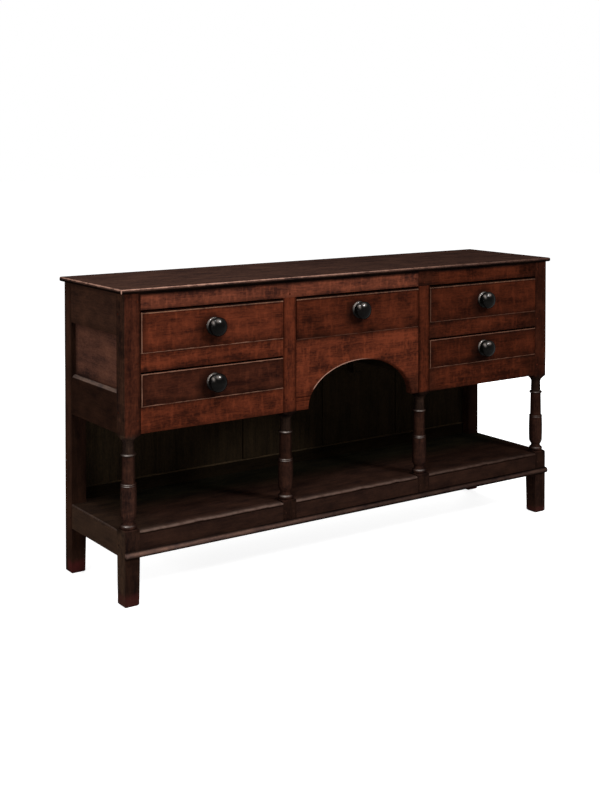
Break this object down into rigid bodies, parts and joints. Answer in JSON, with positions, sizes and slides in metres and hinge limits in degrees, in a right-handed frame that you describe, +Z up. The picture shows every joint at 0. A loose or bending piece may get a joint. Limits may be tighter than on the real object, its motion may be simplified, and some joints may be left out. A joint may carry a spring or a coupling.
{
  "type": "dresser base",
  "caption": "Joined oak dresser base with frieze drawers, an arched apron, turned front legs and a low open pot board.",
  "frame": {"origin": "on the floor, under the middle of the whole piece's box", "axes": "+X to the right seen from the front, +Y to the back, +Z up"},
  "size_m": [1.602, 0.424, 0.86],
  "materials": {
    "oak_top": "waxed, dark, half gloss",
    "oak_frieze": "waxed, red brown",
    "oak_side": "waxed, brown",
    "oak_post": "waxed, dark brown, worn on the edges",
    "oak_shelf": "dark brown, worn",
    "oak_back": "dry, dark brown",
    "oak_lining": "dry, unpolished",
    "ebonised_knob": "black, gloss"
  },
  "bodies": {
    "carcase": {"arch_apron": "oak_frieze", "back_bearers": "oak_lining", "back_bottom_rail": "oak_back", "back_muntins": "oak_back", "back_panels": "oak_back", "back_top_rail": "oak_back", "base_moulding": "oak_shelf", "bottom_rail_left": "oak_frieze", "bottom_rail_right": "oak_frieze", "drawer_guides": "oak_lining", "drawer_kickers": "oak_lining", "drawer_rail_left": "oak_frieze", "drawer_rail_right": "oak_frieze", "drawer_runners": "oak_lining", "front_top_rail_left": "oak_frieze", "front_top_rail_right": "oak_frieze", "joint_pegs": "oak_post", "post_front_left": "oak_post", "post_front_right": "oak_post", "post_middle_left": "oak_post", "post_middle_right": "oak_post", "post_rear_left": "oak_side", "post_rear_right": "oak_side", "pot_board_front": "oak_shelf", "pot_board_rear": "oak_shelf", "shelf_front_rails": "oak_shelf", "shelf_ledger": "oak_lining", "shelf_side_rails": "oak_shelf", "side_bottom_rails": "oak_side", "side_panel_left": "oak_side", "side_panel_right": "oak_side", "side_top_rails": "oak_side", "top_blocks": "oak_lining", "top_board_front": "oak_top", "top_board_rear": "oak_top"},
    "drawer_upper_left": {"drawer_upper_left_back": "oak_lining", "drawer_upper_left_bottom": "oak_lining", "drawer_upper_left_front": "oak_frieze", "drawer_upper_left_knob": "ebonised_knob", "drawer_upper_left_sides": "oak_lining"},
    "drawer_lower_left": {"drawer_lower_left_back": "oak_lining", "drawer_lower_left_bottom": "oak_lining", "drawer_lower_left_front": "oak_frieze", "drawer_lower_left_knob": "ebonised_knob", "drawer_lower_left_sides": "oak_lining"},
    "drawer_middle": {"drawer_middle_back": "oak_lining", "drawer_middle_bottom": "oak_lining", "drawer_middle_front": "oak_frieze", "drawer_middle_knob": "ebonised_knob", "drawer_middle_sides": "oak_lining"},
    "drawer_upper_right": {"drawer_upper_right_back": "oak_lining", "drawer_upper_right_bottom": "oak_lining", "drawer_upper_right_front": "oak_frieze", "drawer_upper_right_knob": "ebonised_knob", "drawer_upper_right_sides": "oak_lining"},
    "drawer_lower_right": {"drawer_lower_right_back": "oak_lining", "drawer_lower_right_bottom": "oak_lining", "drawer_lower_right_front": "oak_frieze", "drawer_lower_right_knob": "ebonised_knob", "drawer_lower_right_sides": "oak_lining"}
  },
  "joints": [
    {"name": "upper_left_slide", "type": "slide", "parent": "carcase", "child": "drawer_upper_left", "axis": [0, -1, 0], "range_m": [0, 0.26]},
    {"name": "lower_left_slide", "type": "slide", "parent": "carcase", "child": "drawer_lower_left", "axis": [0, -1, 0], "range_m": [0, 0.26]},
    {"name": "middle_slide", "type": "slide", "parent": "carcase", "child": "drawer_middle", "axis": [0, -1, 0], "range_m": [0, 0.26]},
    {"name": "upper_right_slide", "type": "slide", "parent": "carcase", "child": "drawer_upper_right", "axis": [0, -1, 0], "range_m": [0, 0.26]},
    {"name": "lower_right_slide", "type": "slide", "parent": "carcase", "child": "drawer_lower_right", "axis": [0, -1, 0], "range_m": [0, 0.26]}
  ]
}
